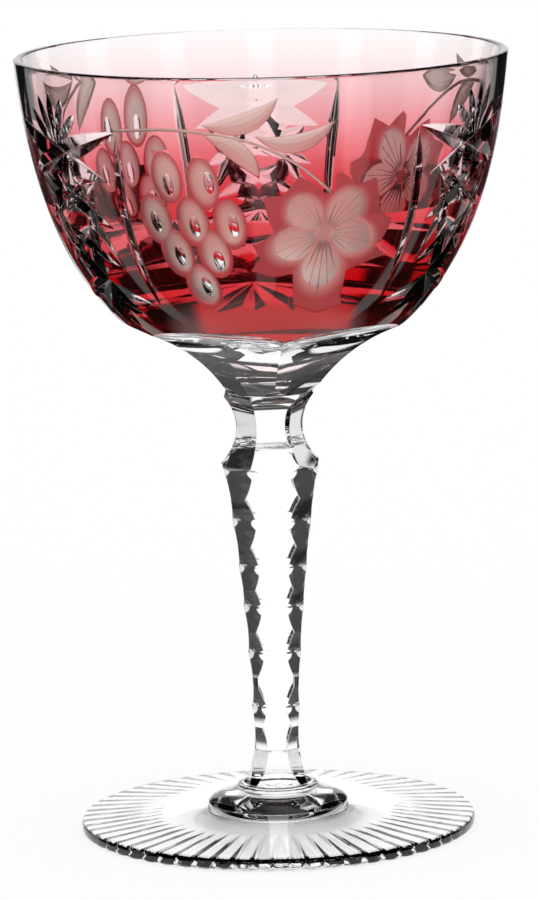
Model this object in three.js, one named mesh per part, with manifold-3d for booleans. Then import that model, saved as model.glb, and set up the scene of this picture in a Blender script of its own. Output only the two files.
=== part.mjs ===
// Stemmed sherbet glass in cut crystal. A clear bowl carries a thin ruby casing on its outside. Three
// panels of mitre-cut stars and three motifs of grapes and vine are cut through the ruby to the clear
// glass. Below it are a fluted base, a fluted neck, a notched eight-sided stem, a bead and a fluted foot.
// Millimetres, +Z up, origin under the middle of the foot. Angles are in degrees about Z, counted from the
// front (-Y) towards +X.
import * as THREE from 'three';
import { mergeVertices } from 'three/addons/utils/BufferGeometryUtils.js';
import Module from 'manifold-3d';

const wasm = await Module();
wasm.setup();

// Seams between pieces of glass that are fused hot
const fuseGap = 0.02;

// Foot
const foot = {
  radius: 38,
  edge: 2.2,            // thickness of the rim of the foot
  height: 7.1,          // top of the boss that carries the bead
  bossRadius: 7.3,
  domeRadius: 13.4,     // where the steep middle meets the gentle slope
  domeHeight: 5,
  edgeRound: 0.35,
  pontilRadius: 9,      // polished hollow under the middle
  pontilDepth: 0.8,
};
const footFlutes = { count: 58, inner: 22, depth: 1.45, wheel: 2.15 };

// Bead between foot and stem
const bead = { radius: 7.8, height: 1.6 };

// Stem: eight-sided shaft, shoulder and fluted neck
const stem = {
  height: 76.44,
  skirtRadius: 7.55,    // lip that sits on the bead
  skirtHeight: 6.8,     // where the shaft starts
  waistRadius: 4.6,
  shoulderHeight: 63.4,
  shoulderRadius: 9.7,
  shaftPull: 5,         // radius that the taper of the shaft bends towards
  blank: 1.11,          // uncut glass, as a share of the shaft's radius
  neckBlank: 8.75,
  seamRadius: 8.3,
};
const rows = { heights: [10, 9.1, 7.9, 9.1, 10.7, 8.7], topEdge: 61.7, turn: 2 };   // from the top row down
const faces = { count: 4, wheel: 57, overlap: 0.042 };   // broad sides, with a shallow hollow in each row
const notches = { wheel: 12.6, overlap: 0.042 };         // narrow sides, ground in on the lines between the rows
const skirtFlutes = { count: 8, wheel: 11.5, reach: 4.35, at: 7.4 };
const neckFlutes = { count: 6, wheel: 10, waist: 5.55, at: 69.56, turn: 7 };

// Bowl
const bowl = {
  height: 64.8,
  rimRadius: 47,
  rimWall: 1.6,
  floor: 12.3,          // glass under the middle of the inside
  lip: 0.5,             // clear edge above the casing
  waistRadius: 13.9,
  waistHeight: 4.7,
  baseRadius: 10.4,
};
const bowlCurve = { sideReach: 0.946, sideHeight: 0.594, haunchReach: 0.788, haunchHeight: 0.232 };
const insideCurve = { sideReach: 0.9075, sideHeight: 0.581, haunchReach: 0.826 };
const casing = { rim: 0.4, base: 0.9, hem: 7 };   // wall at the rim and low down, and where it starts
const baseFlutes = { count: 6, wheel: 32.7, centreRadius: 36.18, centreDrop: 16.75, turn: 37 };

// Cuts. Each place is [degrees from the middle of its panel or motif, height above the bowl's seam].
const mitreAngle = 52;   // half angle of the wheel's edge
const panels = { names: ['left', 'right', 'back'], angles: [-58.5, 61.5, 181.5] };
const upperStar = [0, 49.6];
const lowerStar = [0, 23.6];
const panelBorder = { from: [22.3, 54], to: [22.6, 20.5], waist: 1.6, depth: 1.3 };
const starMitres = [
  { from: [-21.8, 54.2], to: [17.3, 44.6], depth: 1.6 },
  { from: [-9, 44.9], to: [15.9, 35.3], depth: 1.25 },
];
const starRays = [
  { from: upperStar, to: [15.1, 27.2], depth: 1.5 },
  { from: lowerStar, to: [13.1, 44.6], depth: 1.7 },
  { from: upperStar, to: [6.5, 59], depth: 1.45 },
  { from: lowerStar, to: [21.5, 20], depth: 1.7 },
  { from: lowerStar, to: [10.5, 16.2], depth: 1.6 },
];
const middleRays = [
  { from: upperStar, to: [0, 60.2], depth: 1.45 },
  { from: lowerStar, to: [0, 15.6], depth: 1.6 },
];
const motifAngles = [1.5, 121.5, 241.5];
const grape = { halfWidth: 3.1, halfHeight: 4.7, depth: 0.75, lean: 8 };
const bunch = [
  [-25.2, 45], [-14.9, 45.2], [-30.3, 37.6], [-19.7, 36.9], [-9.5, 37], [-25.4, 31], [-14.4, 30.3], [-19.4, 24.7],
];
const vineLeaf = { at: [13.6, 34.6], lobeReach: 4.4, lobeRadius: 3.6, lobes: 5, depth: 0.6 };
const blades = [
  { from: [-14.5, 56], to: [2.2, 61.2], half: 1.7, bow: -1.3 },
  { from: [-14.5, 54.2], to: [-2.4, 46], half: 1.6, bow: 1.3 },
  { from: [-3, 53.8], to: [15, 56.4], half: 1.7, bow: -1.5 },
];
const bladeDepth = 0.5;
const vineStem = { from: [-19, 54.9], to: [15.2, 42.9], rise: 2.6, depth: 0.4 };

const smallestTile = 1;   // cubic millimetres

// Heights of the seams
const beadBase = foot.height + fuseGap;
const stemBase = beadBase + bead.height + fuseGap;
const bowlBase = stemBase + stem.height + fuseGap;

// Round sections
const bowlSegments = 42;
const stemSegments = 36;

// Solids
function solidOf(geometry) {
  const bare = geometry.clone();
  bare.deleteAttribute('normal');
  bare.deleteAttribute('uv');
  const merged = mergeVertices(bare, 1e-4);
  const corners = merged.index.array;
  const kept = [];
  for (let i = 0; i < corners.length; i += 3) {
    const [a, b, c] = corners.subarray(i, i + 3);
    if (a !== b && b !== c && c !== a) {
      kept.push(a, b, c);
    }
  }
  return new wasm.Manifold(new wasm.Mesh({
    numProp: 3,
    vertProperties: new Float32Array(merged.attributes.position.array),
    triVerts: new Uint32Array(kept),
  }));
}

function geometryOf(solid) {
  const mesh = solid.getMesh();
  const geometry = new THREE.BufferGeometry();
  geometry.setAttribute('position', new THREE.BufferAttribute(mesh.vertProperties, 3));
  geometry.setIndex(new THREE.BufferAttribute(mesh.triVerts, 1));
  geometry.computeVertexNormals();
  return geometry;
}

function joined(solids) {
  return wasm.Manifold.union(solids);
}

function lathe(points, segments) {
  const geometry = new THREE.LatheGeometry(points, segments);
  geometry.rotateX(Math.PI / 2);
  return solidOf(geometry);
}

function point(radius, height) {
  return new THREE.Vector2(radius, height);
}

// Frame on the axis of the glass: x outwards at the given angle, y round the glass, z up
function frameAt(degrees) {
  const turn = THREE.MathUtils.degToRad(degrees);
  const out = new THREE.Vector3(Math.sin(turn), -Math.cos(turn), 0);
  const round = new THREE.Vector3(Math.cos(turn), Math.sin(turn), 0);
  return new THREE.Matrix4().makeBasis(out, round, new THREE.Vector3(0, 0, 1));
}

// Grinding wheel whose axle lies level and square to the glass, so that it cuts a hollow flute
function levelWheel(radius, width, segments, degrees, centreRadius, centreHeight) {
  const geometry = new THREE.CylinderGeometry(radius, radius, width, segments);
  geometry.translate(centreRadius, 0, centreHeight);
  geometry.applyMatrix4(frameAt(degrees));
  return solidOf(geometry);
}

// Outside of the bowl
const rimTop = bowlBase + bowl.height;
const outsideCurve = new THREE.CubicBezierCurve(
  point(bowl.rimRadius, rimTop),
  point(bowl.rimRadius * bowlCurve.sideReach, bowlBase + bowl.height * bowlCurve.sideHeight),
  point(bowl.rimRadius * bowlCurve.haunchReach, bowlBase + bowl.height * bowlCurve.haunchHeight),
  point(bowl.waistRadius, bowlBase + bowl.waistHeight),
);

// Place on the outside at a height: the curve runs down from the rim, so halving finds it
function outsideAt(height) {
  let low = 0;
  let high = 1;
  for (let step = 0; step < 40; step += 1) {
    const middle = (low + high) / 2;
    if (outsideCurve.getPoint(middle).y > height) {
      low = middle;
    } else {
      high = middle;
    }
  }
  const place = outsideCurve.getPoint(low);
  const slope = outsideCurve.getTangent(low);
  return { radius: place.x, height: place.y, outRadius: -slope.y, outHeight: slope.x };
}

function casingWall(height) {
  const share = (rimTop - height) / (bowl.height - casing.hem);
  return THREE.MathUtils.lerp(casing.rim, casing.base, Math.min(share, 1));
}

// Outside curve between two heights, moved into the glass by the casing wall and a further gap
function outsideRun(fromHeight, toHeight, steps, gap, withWall) {
  const run = [];
  for (let step = 0; step <= steps; step += 1) {
    const place = outsideAt(THREE.MathUtils.lerp(fromHeight, toHeight, step / steps));
    const inset = gap + (withWall ? casingWall(place.height) : 0);
    run.push(point(place.radius - place.outRadius * inset, place.height - place.outHeight * inset));
  }
  return run;
}

// Frame on the outside of the bowl: x round the glass, y up the wall, z out of the glass
function surfaceFrame(degrees, height) {
  const place = outsideAt(height);
  const axes = frameAt(degrees);
  const out = new THREE.Vector3(place.outRadius, 0, place.outHeight).transformDirection(axes);
  const round = new THREE.Vector3(0, 1, 0).transformDirection(axes);
  const up = new THREE.Vector3().crossVectors(out, round);
  const spot = new THREE.Vector3(place.radius, 0, place.height).applyMatrix4(axes);
  return new THREE.Matrix4().makeBasis(round, up, out).setPosition(spot);
}

// Groove with a V section along a path on the bowl. Depth and width fall away as the wheel leaves the glass.
function groove(pathAt, depthAt, spread, lift, steps) {
  const corners = [];
  for (let step = 0; step <= steps; step += 1) {
    const share = step / steps;
    const [degrees, height] = pathAt(share);
    const frame = surfaceFrame(degrees, height);
    const [nextDegrees, nextHeight] = pathAt(Math.min(share + 0.01, 1));
    const [lastDegrees, lastHeight] = pathAt(Math.max(share - 0.01, 0));
    const along = new THREE.Vector3().setFromMatrixPosition(surfaceFrame(nextDegrees, nextHeight));
    along.sub(new THREE.Vector3().setFromMatrixPosition(surfaceFrame(lastDegrees, lastHeight))).normalize();
    const out = new THREE.Vector3().setFromMatrixColumn(frame, 2);
    const side = new THREE.Vector3().crossVectors(along, out).normalize();
    const spot = new THREE.Vector3().setFromMatrixPosition(frame);
    const depth = depthAt(share);
    const half = (depth + lift) * spread;
    corners.push(spot.clone().addScaledVector(out, -depth));
    corners.push(spot.clone().addScaledVector(out, lift).addScaledVector(side, half));
    corners.push(spot.clone().addScaledVector(out, lift).addScaledVector(side, -half));
  }
  const faces = [0, 1, 2];
  for (let step = 0; step < steps; step += 1) {
    const base = step * 3;
    for (let edge = 0; edge < 3; edge += 1) {
      const a = base + edge;
      const b = base + (edge + 1) % 3;
      faces.push(a, a + 3, b, b, a + 3, b + 3);
    }
  }
  const last = steps * 3;
  faces.push(last, last + 2, last + 1);
  const geometry = new THREE.BufferGeometry();
  geometry.setAttribute('position', new THREE.Float32BufferAttribute(corners.flatMap((c) => c.toArray()), 3));
  geometry.setIndex(faces);
  return solidOf(geometry);
}

function onGlass(base, [degrees, height]) {
  return [base + degrees, bowlBase + height];
}

function mirrored([degrees, height]) {
  return [-degrees, height];
}

function straight(from, to) {
  return (share) => [THREE.MathUtils.lerp(from[0], to[0], share), THREE.MathUtils.lerp(from[1], to[1], share)];
}

// Straight mitre, deepest in its middle
function mitre(from, to, depth) {
  const edge = Math.tan(THREE.MathUtils.degToRad(mitreAngle));
  return groove(straight(from, to), (share) => depth * (1 - (2 * share - 1) ** 2), edge, 0.6, 2);
}

// Ray of a star, deepest at the heart of the star
function ray(from, to, depth) {
  const edge = Math.tan(THREE.MathUtils.degToRad(mitreAngle));
  return groove(straight(from, to), (share) => depth * (1 - share ** 2), edge, 0.6, 2);
}

// Long mitre down the side of a panel, drawn in a little at its waist
function border(from, to, waist, depth) {
  const edge = Math.tan(THREE.MathUtils.degToRad(mitreAngle));
  const side = Math.sign(to[0] - waist.middle);
  const path = (share) => {
    const [degrees, height] = straight(from, to)(share);
    return [degrees - side * waist.draw * Math.sin(Math.PI * share), height];
  };
  return groove(path, (share) => depth * Math.min(1, 5 * Math.min(share, 1 - share)), edge, 0.6, 5);
}

// Hollow oval, such as a grape or the lobe of a leaf
function dish([degrees, height], halfWidth, halfHeight, depth, lean) {
  const reach = 2 / Math.sqrt(3);   // a ball whose centre stands its dish's depth above the glass
  const geometry = new THREE.SphereGeometry(1, 10, 4);
  geometry.scale(halfWidth * reach, halfHeight * reach, 2 * depth);
  geometry.translate(0, 0, depth);
  geometry.rotateZ(THREE.MathUtils.degToRad(lean));
  geometry.applyMatrix4(surfaceFrame(degrees, height));
  return solidOf(geometry);
}

function starPanel(middle) {
  const cuts = [];
  const both = (from, to, cut) => {
    cuts.push(cut(onGlass(middle, from), onGlass(middle, to)));
    cuts.push(cut(onGlass(middle, mirrored(from)), onGlass(middle, mirrored(to))));
  };
  const waist = { middle, draw: panelBorder.waist };
  both(panelBorder.from, panelBorder.to, (from, to) => border(from, to, waist, panelBorder.depth));
  for (const cut of starMitres) {
    both(cut.from, cut.to, (from, to) => mitre(from, to, cut.depth));
  }
  for (const cut of starRays) {
    both(cut.from, cut.to, (from, to) => ray(from, to, cut.depth));
  }
  for (const cut of middleRays) {
    cuts.push(ray(onGlass(middle, cut.from), onGlass(middle, cut.to), cut.depth));
  }
  return cuts;
}

function starCuts() {
  return panels.angles.flatMap((middle) => starPanel(middle));
}

function vineMotif(middle) {
  const cuts = bunch.map((at) => (
    dish(onGlass(middle, at), grape.halfWidth, grape.halfHeight, grape.depth, grape.lean)
  ));
  for (let lobe = 0; lobe < vineLeaf.lobes; lobe += 1) {
    const turn = THREE.MathUtils.degToRad(lobe * 360 / vineLeaf.lobes + 90);
    const [degrees, height] = onGlass(middle, vineLeaf.at);
    const perDegree = THREE.MathUtils.degToRad(outsideAt(height).radius);
    const at = [degrees + vineLeaf.lobeReach * Math.cos(turn) / perDegree, height + vineLeaf.lobeReach * Math.sin(turn)];
    cuts.push(dish(at, vineLeaf.lobeRadius, vineLeaf.lobeRadius, vineLeaf.depth, 0));
  }
  for (const blade of blades) {
    const path = (share) => {
      const [degrees, height] = straight(blade.from, blade.to)(share);
      return onGlass(middle, [degrees, height + blade.bow * Math.sin(Math.PI * share)]);
    };
    const spread = blade.half / bladeDepth;
    cuts.push(groove(path, (share) => bladeDepth * Math.sin(Math.PI * share), spread, 0.05, 3));
  }
  const stemPath = (share) => {
    const [degrees, height] = straight(vineStem.from, vineStem.to)(share);
    return onGlass(middle, [degrees, height + vineStem.rise * Math.sin(Math.PI * share)]);
  };
  cuts.push(groove(stemPath, () => vineStem.depth, 1.6, 0.1, 6));
  return cuts;
}

function ringOf(count, turn, cut) {
  return Array.from({ length: count }, (_, index) => cut(turn + index * 360 / count));
}

// Flutes round the base of the bowl
function baseWheels() {
  return ringOf(baseFlutes.count, baseFlutes.turn, (degrees) => levelWheel(
    baseFlutes.wheel, 2 * bowl.rimRadius, 64, degrees,
    baseFlutes.centreRadius, bowlBase - baseFlutes.centreDrop,
  ));
}

// Flutes of the neck, which run up into the base of the bowl
function neckWheels() {
  return ringOf(neckFlutes.count, neckFlutes.turn, (degrees) => levelWheel(
    neckFlutes.wheel, 4 * stem.shoulderRadius, 36, degrees,
    neckFlutes.waist + neckFlutes.wheel, stemBase + neckFlutes.at,
  ));
}

function makeFoot() {
  const slope = new THREE.QuadraticBezierCurve(
    point(foot.bossRadius, foot.height),
    point(foot.bossRadius + 1.6, foot.domeHeight + 0.4),
    point(foot.domeRadius, foot.domeHeight),
  );
  const gentle = new THREE.QuadraticBezierCurve(
    point(foot.domeRadius, foot.domeHeight),
    point((foot.domeRadius + foot.radius) / 2, (foot.domeHeight + foot.edge) / 2 - 0.4),
    point(foot.radius - foot.edgeRound, foot.edge),
  );
  const pontil = new THREE.QuadraticBezierCurve(
    point(0, foot.pontilDepth),
    point(foot.pontilRadius / 2, foot.pontilDepth),
    point(foot.pontilRadius, 0),
  );
  const profile = [
    ...pontil.getPoints(2),
    point(foot.radius - foot.edgeRound, 0),
    point(foot.radius, foot.edgeRound),
    point(foot.radius, foot.edge - foot.edgeRound),
    ...gentle.getPoints(2).reverse(),
    ...slope.getPoints(2).reverse().slice(1),
    point(0, foot.height),
  ];
  const blank = lathe(profile, footFlutes.count);
  const run = foot.radius - footFlutes.inner;
  const tilt = Math.atan2(footFlutes.depth, run);
  const wheels = [];
  for (let flute = 0; flute < footFlutes.count; flute += 1) {
    const geometry = new THREE.CylinderGeometry(footFlutes.wheel, footFlutes.wheel, 3 * run, 6);
    geometry.rotateZ(Math.PI / 2);
    geometry.rotateY(-tilt);
    geometry.translate(foot.radius, 0, footFlutes.depth - footFlutes.wheel);
    geometry.applyMatrix4(frameAt(flute * 360 / footFlutes.count));
    wheels.push(solidOf(geometry));
  }
  return blank.subtract(joined(wheels));
}

function makeBead() {
  const half = bead.height / 2;
  const profile = [point(0, beadBase)];
  for (let step = 0; step <= 4; step += 1) {
    const turn = -Math.PI / 2 + Math.PI * step / 4;
    profile.push(point(bead.radius - half + half * Math.cos(turn), beadBase + half + half * Math.sin(turn)));
  }
  profile.push(point(0, beadBase + bead.height));
  return lathe(profile, stemSegments);
}

// Radius of the uncut shaft, by height above the foot of the stem
function shaftRadius(height) {
  const share = (stem.shoulderHeight - height) / (stem.shoulderHeight - stem.skirtHeight);
  const top = THREE.MathUtils.lerp(stem.shoulderRadius, stem.shaftPull, share);
  const low = THREE.MathUtils.lerp(stem.shaftPull, stem.waistRadius, share);
  return THREE.MathUtils.lerp(top, low, share);
}

// Wheel that leaves the given depth of cut on the shaft at a height, square to the taper there
function shaftWheel(wheel, segments, degrees, height, depth) {
  const slope = Math.atan2(shaftRadius(height + 1) - shaftRadius(height - 1), 2);
  const stand = wheel - depth;
  return levelWheel(
    wheel, 4 * stem.shoulderRadius, segments, degrees,
    shaftRadius(height) + stand * Math.cos(slope), stemBase + height - stand * Math.sin(slope),
  );
}

function makeStem() {
  const profile = [
    point(0, 0),
    point(stem.skirtRadius, 0),
    point(stem.skirtRadius, 0.8),
  ];
  const steps = 12;
  for (let step = 0; step <= steps; step += 1) {
    const height = THREE.MathUtils.lerp(stem.skirtHeight, stem.shoulderHeight, step / steps);
    profile.push(point(shaftRadius(height) * stem.blank, height));
  }
  profile.push(point(stem.neckBlank, stem.shoulderHeight + 1.2));
  profile.push(point(stem.neckBlank, stem.height - 1.2));
  profile.push(point(stem.seamRadius, stem.height));
  profile.push(point(0, stem.height));
  const blank = lathe(profile, stemSegments).translate(0, 0, stemBase);
  const wheels = neckWheels();
  wheels.push(...ringOf(skirtFlutes.count, rows.turn, (degrees) => levelWheel(
    skirtFlutes.wheel, 4 * stem.skirtRadius, 36, degrees,
    skirtFlutes.reach + skirtFlutes.wheel, stemBase + skirtFlutes.at,
  )));
  let top = rows.topEdge;
  for (const rowHeight of rows.heights) {
    const middle = top - rowHeight / 2;
    const hollow = (rowHeight / 2) ** 2 / (2 * faces.wheel);
    wheels.push(...ringOf(faces.count, rows.turn, (degrees) => (
      shaftWheel(faces.wheel, 96, degrees, middle, faces.overlap * shaftRadius(middle) + hollow)
    )));
    const line = top;
    wheels.push(...ringOf(faces.count, rows.turn + 180 / faces.count, (degrees) => (
      shaftWheel(notches.wheel, 40, degrees, line, notches.overlap * shaftRadius(line))
    )));
    top -= rowHeight;
  }
  return blank.subtract(joined(wheels));
}

const hemHeight = bowlBase + casing.hem;
const casingTop = rimTop - bowl.lip;

function makeCrystal() {
  const wallSteps = 6;
  const inside = new THREE.CubicBezierCurve(
    point(0, bowlBase + bowl.floor),
    point((bowl.rimRadius - bowl.rimWall) * insideCurve.haunchReach, bowlBase + bowl.floor),
    point(
      (bowl.rimRadius - bowl.rimWall) * insideCurve.sideReach,
      rimTop - (bowl.height - bowl.floor) * (1 - insideCurve.sideHeight),
    ),
    point(bowl.rimRadius - bowl.rimWall, rimTop - bowl.lip),
  );
  const profile = [
    point(0, bowlBase),
    point(bowl.baseRadius, bowlBase),
    ...outsideRun(bowlBase + bowl.waistHeight, hemHeight, 2, 0, false),
    ...outsideRun(hemHeight, casingTop, wallSteps, fuseGap, true),
    point(bowl.rimRadius - fuseGap, casingTop + fuseGap),
    point(bowl.rimRadius - bowl.rimWall / 3, rimTop),
    point(bowl.rimRadius - bowl.rimWall * 2 / 3, rimTop),
    ...inside.getPoints(wallSteps).reverse(),
  ];
  return lathe(profile, bowlSegments).subtract(joined([...baseWheels(), ...neckWheels(), ...starCuts()]));
}

function makeCasing() {
  const wallSteps = 6;
  const profile = [
    ...outsideRun(hemHeight, casingTop, wallSteps, 0, false),
    ...outsideRun(casingTop, hemHeight, wallSteps, 0, true),
  ];
  profile.push(profile[0].clone());
  const vines = motifAngles.flatMap((middle) => vineMotif(middle));
  return lathe(profile, bowlSegments).subtract(joined([...baseWheels(), ...starCuts(), ...vines]));
}

// Chips thinner than a wheel would leave are ground away, so only the larger bodies of a cut piece count
function largestFirst(solid) {
  return solid.decompose().sort((a, b) => b.volume() - a.volume());
}

function panelOf(tile) {
  const box = tile.boundingBox();
  const degrees = THREE.MathUtils.radToDeg(Math.atan2(box.min[0] + box.max[0], -box.min[1] - box.max[1]));
  const away = panels.angles.map((middle) => Math.abs((degrees - middle + 540) % 360 - 180));
  return panels.names[away.indexOf(Math.min(...away))];
}

// Finishes
const clearGlass = new THREE.MeshStandardMaterial({ color: 0xeef2f0, roughness: 0.05, metalness: 0 });
const rubyGlass = new THREE.MeshStandardMaterial({ color: 0xb41e32, roughness: 0.08, metalness: 0 });

const glass = new THREE.Group();

function add(name, solid, material) {
  const mesh = new THREE.Mesh(geometryOf(solid), material);
  mesh.name = name;
  glass.add(mesh);
}

add('foot', makeFoot(), clearGlass);
add('bead', makeBead(), clearGlass);
add('stem', makeStem(), clearGlass);
add('crystal_bowl', largestFirst(makeCrystal())[0], clearGlass);

// The mitres part the casing into one large piece and small tiles that stand between the cuts
const [casingBody, ...tiles] = largestFirst(makeCasing());
add('ruby_casing', casingBody, rubyGlass);
const tileCounts = new Map();
for (const tile of tiles.filter((piece) => piece.volume() > smallestTile)) {
  const name = panelOf(tile);
  const count = (tileCounts.get(name) ?? 0) + 1;
  tileCounts.set(name, count);
  add(`ruby_tile_${name}_${count}`, tile, rubyGlass);
}

export default glass;
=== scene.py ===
# Stemmed sherbet glass: ruby cased over clear crystal, with grapes and vine and mitre-cut stars.
# The imported CAD solids give the heights of the seams and the rim, and the radii of the rim and foot; the
# other sizes are listed here. This script dresses them for the picture.
import math

import bpy
from mathutils import Matrix, Vector


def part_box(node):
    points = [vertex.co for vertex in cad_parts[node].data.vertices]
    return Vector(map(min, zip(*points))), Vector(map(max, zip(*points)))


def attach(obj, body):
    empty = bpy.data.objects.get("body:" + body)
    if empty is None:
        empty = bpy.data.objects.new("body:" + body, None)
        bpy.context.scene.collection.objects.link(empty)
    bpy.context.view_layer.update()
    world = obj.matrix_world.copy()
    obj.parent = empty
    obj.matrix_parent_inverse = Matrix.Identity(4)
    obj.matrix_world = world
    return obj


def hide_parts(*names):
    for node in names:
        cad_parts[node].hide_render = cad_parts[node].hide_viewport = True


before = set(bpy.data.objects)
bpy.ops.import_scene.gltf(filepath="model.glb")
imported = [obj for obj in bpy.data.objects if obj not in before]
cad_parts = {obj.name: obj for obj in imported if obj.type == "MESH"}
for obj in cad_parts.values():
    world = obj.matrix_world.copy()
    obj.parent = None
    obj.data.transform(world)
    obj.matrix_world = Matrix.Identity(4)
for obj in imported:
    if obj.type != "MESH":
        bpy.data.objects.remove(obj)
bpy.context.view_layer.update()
mm = 0.001

# Heights of the seams, read from the CAD nodes, in mm
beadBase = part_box("bead")[0].z / mm
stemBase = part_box("stem")[0].z / mm
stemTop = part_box("stem")[1].z / mm
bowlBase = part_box("crystal_bowl")[0].z / mm
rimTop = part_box("crystal_bowl")[1].z / mm
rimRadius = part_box("ruby_casing")[1].y / mm
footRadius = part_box("foot")[1].y / mm

# Gap between casing and crystal in mm, too thin to see at a slant
fuseGap = 0.002
print("frame loaded: rim at", round(rimTop, 2), "mm, rim radius", round(rimRadius, 2), "mm")


# Small helpers for modelling

def onlySelected(piece):
    if bpy.context.object and bpy.context.object.mode != "OBJECT":
        bpy.ops.object.mode_set(mode="OBJECT")
    bpy.ops.object.select_all(action="DESELECT")
    piece.select_set(True)
    bpy.context.view_layer.objects.active = piece


def nothingSelected():
    bpy.ops.object.select_all(action="DESELECT")


# Turns a run of [radius, height] points, in mm, into a closed body of glass by spinning it about the axis
def lathe(name, run, steps):
    nothingSelected()
    bpy.ops.mesh.primitive_plane_add(size=mm, location=(run[0][0] * mm, 0, run[0][1] * mm))
    piece = bpy.context.object
    piece.name = name
    bpy.ops.object.transform_apply(location=True, rotation=True, scale=True)
    bpy.ops.object.mode_set(mode="EDIT")
    bpy.ops.mesh.select_mode(type="VERT")
    bpy.ops.mesh.select_all(action="SELECT")
    bpy.ops.mesh.merge(type="CENTER")
    for before, after in zip(run, run[1:]):
        step = ((after[0] - before[0]) * mm, 0, (after[1] - before[1]) * mm)
        bpy.ops.mesh.extrude_region_move(TRANSFORM_OT_translate={"value": step})
    bpy.ops.mesh.select_all(action="SELECT")
    bpy.ops.mesh.spin(steps=steps, angle=math.tau, center=(0, 0, 0), axis=(0, 0, 1))
    bpy.ops.mesh.select_all(action="SELECT")
    bpy.ops.mesh.remove_doubles(threshold=1e-6)
    bpy.ops.mesh.normals_make_consistent(inside=False)
    bpy.ops.object.mode_set(mode="OBJECT")
    return piece


# Works the tools into the piece, one after another: taken away, added, or kept where they meet
def combine(piece, tools, operation):
    onlySelected(piece)
    for tool in tools:
        cut = piece.modifiers.new("cut", "BOOLEAN")
        cut.operation = operation
        cut.solver = "MANIFOLD"
        cut.material_mode = "TRANSFER"
        cut.object = tool
        bpy.ops.object.modifier_apply(modifier=cut.name)
    return piece


def removeTools(tools):
    for tool in tools:
        bpy.data.objects.remove(tool)


def giveMaterial(piece, *finishes):
    piece.data.materials.clear()
    for finish in finishes:
        piece.data.materials.append(finish)


# Joints below the bowl: their radius, how level their faces are, and how near the seam, in mm
joints = {"radius": 6.5, "level": 0.99, "slack": 0.01}


# Gives the second finish to the faces that are fused to another piece. isJoint judges a face, with the radius
# and the height of its middle in mm
def markJoint(piece, isJoint):
    for face in piece.data.polygons:
        radius = (face.center.x ** 2 + face.center.y ** 2) ** 0.5 / mm
        if isJoint(face, radius, face.center.z / mm):
            face.material_index = 1


# Joint of foot or bead: a level face near the axis. The hollow under the foot is as level, but lies lower
def levelJoint(face, radius, height):
    isLevel = abs(face.normal.z) > joints["level"] and height > foot["height"] - joints["slack"]
    return isLevel and radius < joints["radius"]


def smoothBy(piece, degrees):
    onlySelected(piece)
    bpy.ops.object.shade_smooth_by_angle(angle=math.radians(degrees), keep_sharp_edges=False)


# Direction out of the axis at an angle counted from the front, as the CAD source counts it
def outwards(degrees):
    turn = math.radians(degrees)
    return Vector((math.sin(turn), -math.cos(turn), 0))


# Grinding wheel with a level axle, square to the glass, that leaves a hollow flute
def levelWheel(radius, width, degrees, centreRadius, centreHeight, finish, steps):
    nothingSelected()
    bpy.ops.mesh.primitive_cylinder_add(vertices=steps, radius=radius * mm, depth=width * mm)
    wheel = bpy.context.object
    out = outwards(degrees)
    along = Vector((0, 0, 1)).cross(out)
    turned = Matrix((out, Vector((0, 0, 1)), along)).transposed().to_4x4()
    turned.translation = out * centreRadius * mm + Vector((0, 0, centreHeight * mm))
    wheel.data.transform(turned)
    if turned.determinant() < 0:
        wheel.data.flip_normals()
    giveMaterial(wheel, finish)
    return wheel


# Finishes, written as Python expressions

class Value:  # a shader socket that carries a number
    def __init__(self, finish, socket):
        self.finish = finish
        self.socket = socket

    def maths(self, operation, *others, first=None):
        inputs = [self if first is None else first, *others]
        return self.finish.node("ShaderNodeMath", {"operation": operation}, inputs)

    def __add__(self, other):
        return self.maths("ADD", other)

    def __radd__(self, other):
        return self.maths("ADD", other)

    def __sub__(self, other):
        return self.maths("SUBTRACT", other)

    def __rsub__(self, other):
        return self.maths("SUBTRACT", self, first=other)

    def __mul__(self, other):
        return self.maths("MULTIPLY", other)

    def __rmul__(self, other):
        return self.maths("MULTIPLY", other)

    def __truediv__(self, other):
        return self.maths("DIVIDE", other)

    def __pow__(self, other):
        return self.maths("POWER", other)

    def step(self, low, high):  # 0 below low, 1 above high, smooth between them
        settings = {"interpolation_type": "SMOOTHSTEP"}
        return self.finish.node("ShaderNodeMapRange", settings, {0: self, 1: low, 2: high})


class Finish:
    def __init__(self, name, world=None):
        self.owner = world or bpy.data.materials.new(name)
        self.owner.use_nodes = True
        self.tree = self.owner.node_tree
        self.tree.nodes.clear()

    def node(self, kind, settings=None, inputs=None, output=0):
        made = self.tree.nodes.new(kind)
        for key, setting in (settings or {}).items():
            setattr(made, key, setting)
        pairs = inputs.items() if isinstance(inputs, dict) else enumerate(inputs or [])
        for key, value in pairs:
            if isinstance(value, Value):
                self.tree.links.new(value.socket, made.inputs[key])
            else:
                made.inputs[key].default_value = value
        return Value(self, made.outputs[output])

    def output(self, kind, sockets):
        end = self.tree.nodes.new(kind)
        for key, value in sockets.items():
            self.tree.links.new(value.socket, end.inputs[key])
        return self.owner

    def place(self):  # x, y and z of a point of the piece, in metres
        return self.node("ShaderNodeTexCoord", {}, [], "Object")

    def parts(self, vector):
        first = self.node("ShaderNodeSeparateXYZ", {}, [vector])
        outputs = first.socket.node.outputs
        return [Value(self, outputs[axis]) for axis in range(3)]


def noise(finish, scale, detail, where=None):
    where = where or finish.place()
    return finish.node("ShaderNodeTexNoise", {}, {"Vector": where, "Scale": scale, "Detail": detail}, "Fac")
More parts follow.
